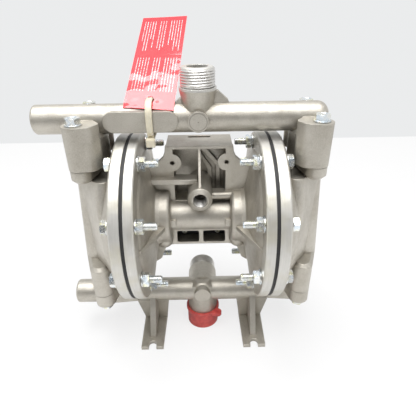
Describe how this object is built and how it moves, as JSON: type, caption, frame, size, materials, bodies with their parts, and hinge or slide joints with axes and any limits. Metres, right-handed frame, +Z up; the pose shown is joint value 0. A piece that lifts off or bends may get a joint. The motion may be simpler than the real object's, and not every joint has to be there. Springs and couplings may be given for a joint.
{
  "type": "air operated diaphragm pump",
  "caption": "Compact stainless air operated double diaphragm pump: clamped diaphragm chambers, ball check manifolds, slotted feet, tag.",
  "frame": {"origin": "on the floor, midway between the two feet and under the diaphragm rod's middle", "axes": "+X along the diaphragm rod to the pump's right, +Y to the back where the air valve sits, +Z up"},
  "size_m": [0.1872, 0.124, 0.2217],
  "materials": {
    "cast_stainless": "bead-blasted investment casting",
    "zinc_plated_steel": "bright zinc plate with a faint yellow and blue tint",
    "black_rubber": "matt moulded rubber",
    "machined_stainless": "turned",
    "bronze": "turned",
    "white_ptfe": "ground smooth",
    "anodised_aluminium": "dark anodised",
    "machined_aluminium": "ground",
    "sintered_bronze": "sintered, granular",
    "red_plastic": "soft moulded plastic",
    "red_card": "glossy printed card",
    "natural_nylon": "moulded nylon, cream"
  },
  "bodies": {
    "pump": {"air_valve_body": "anodised_aluminium", "cable_tie": "natural_nylon", "caution_tag": "red_card", "center_body": "cast_stainless", "discharge_bolts": "zinc_plated_steel", "discharge_manifold": "cast_stainless", "exhaust_muffler": "sintered_bronze", "left_diaphragm": "black_rubber", "left_discharge_seat": "machined_stainless", "left_flange_bolts": "zinc_plated_steel", "left_flange_nuts": "zinc_plated_steel", "left_fluid_cap": "cast_stainless", "left_rod_bush": "bronze", "left_rod_seal": "black_rubber", "left_suction_seat": "machined_stainless", "left_valve_cover": "anodised_aluminium", "pilot_sleeve": "bronze", "port_cap": "red_plastic", "right_diaphragm": "black_rubber", "right_discharge_seat": "machined_stainless", "right_flange_bolts": "zinc_plated_steel", "right_flange_nuts": "zinc_plated_steel", "right_fluid_cap": "cast_stainless", "right_rod_bush": "bronze", "right_rod_seal": "black_rubber", "right_suction_seat": "machined_stainless", "right_valve_cover": "anodised_aluminium", "suction_bolts": "zinc_plated_steel", "suction_manifold": "cast_stainless", "valve_gasket": "black_rubber", "valve_screws": "zinc_plated_steel"},
    "rod_assembly": {"diaphragm_rod": "machined_stainless", "left_inner_plate": "machined_stainless", "left_outer_plate": "machined_stainless", "left_diaphragm_centre": "black_rubber", "left_rod_nut": "machined_stainless", "right_inner_plate": "machined_stainless", "right_outer_plate": "machined_stainless", "right_diaphragm_centre": "black_rubber", "right_rod_nut": "machined_stainless"},
    "spool": {"valve_spool": "machined_aluminium"},
    "pilot": {"pilot_pin": "machined_stainless"},
    "left_discharge_check": {"left_discharge_ball": "white_ptfe"},
    "right_discharge_check": {"right_discharge_ball": "white_ptfe"},
    "left_suction_check": {"left_suction_ball": "white_ptfe"},
    "right_suction_check": {"right_suction_ball": "white_ptfe"}
  },
  "joints": [
    {"name": "rod_slide", "type": "slide", "parent": "pump", "child": "rod_assembly", "axis": [1, 0, 0], "range_m": [-0.0045, 0.0045]},
    {"name": "spool_slide", "type": "slide", "parent": "pump", "child": "spool", "axis": [1, 0, 0], "range_m": [-0.003, 0.003]},
    {"name": "pilot_slide", "type": "slide", "parent": "pump", "child": "pilot", "axis": [1, 0, 0], "range_m": [-0.0016, 0.0016]},
    {"name": "left_discharge_lift", "type": "slide", "parent": "pump", "child": "left_discharge_check", "axis": [0, 0, 1], "range_m": [0, 0.003]},
    {"name": "right_discharge_lift", "type": "slide", "parent": "pump", "child": "right_discharge_check", "axis": [0, 0, 1], "range_m": [0, 0.003]},
    {"name": "left_suction_lift", "type": "slide", "parent": "pump", "child": "left_suction_check", "axis": [0, 0, 1], "range_m": [0, 0.003]},
    {"name": "right_suction_lift", "type": "slide", "parent": "pump", "child": "right_suction_check", "axis": [0, 0, 1], "range_m": [0, 0.003]}
  ]
}
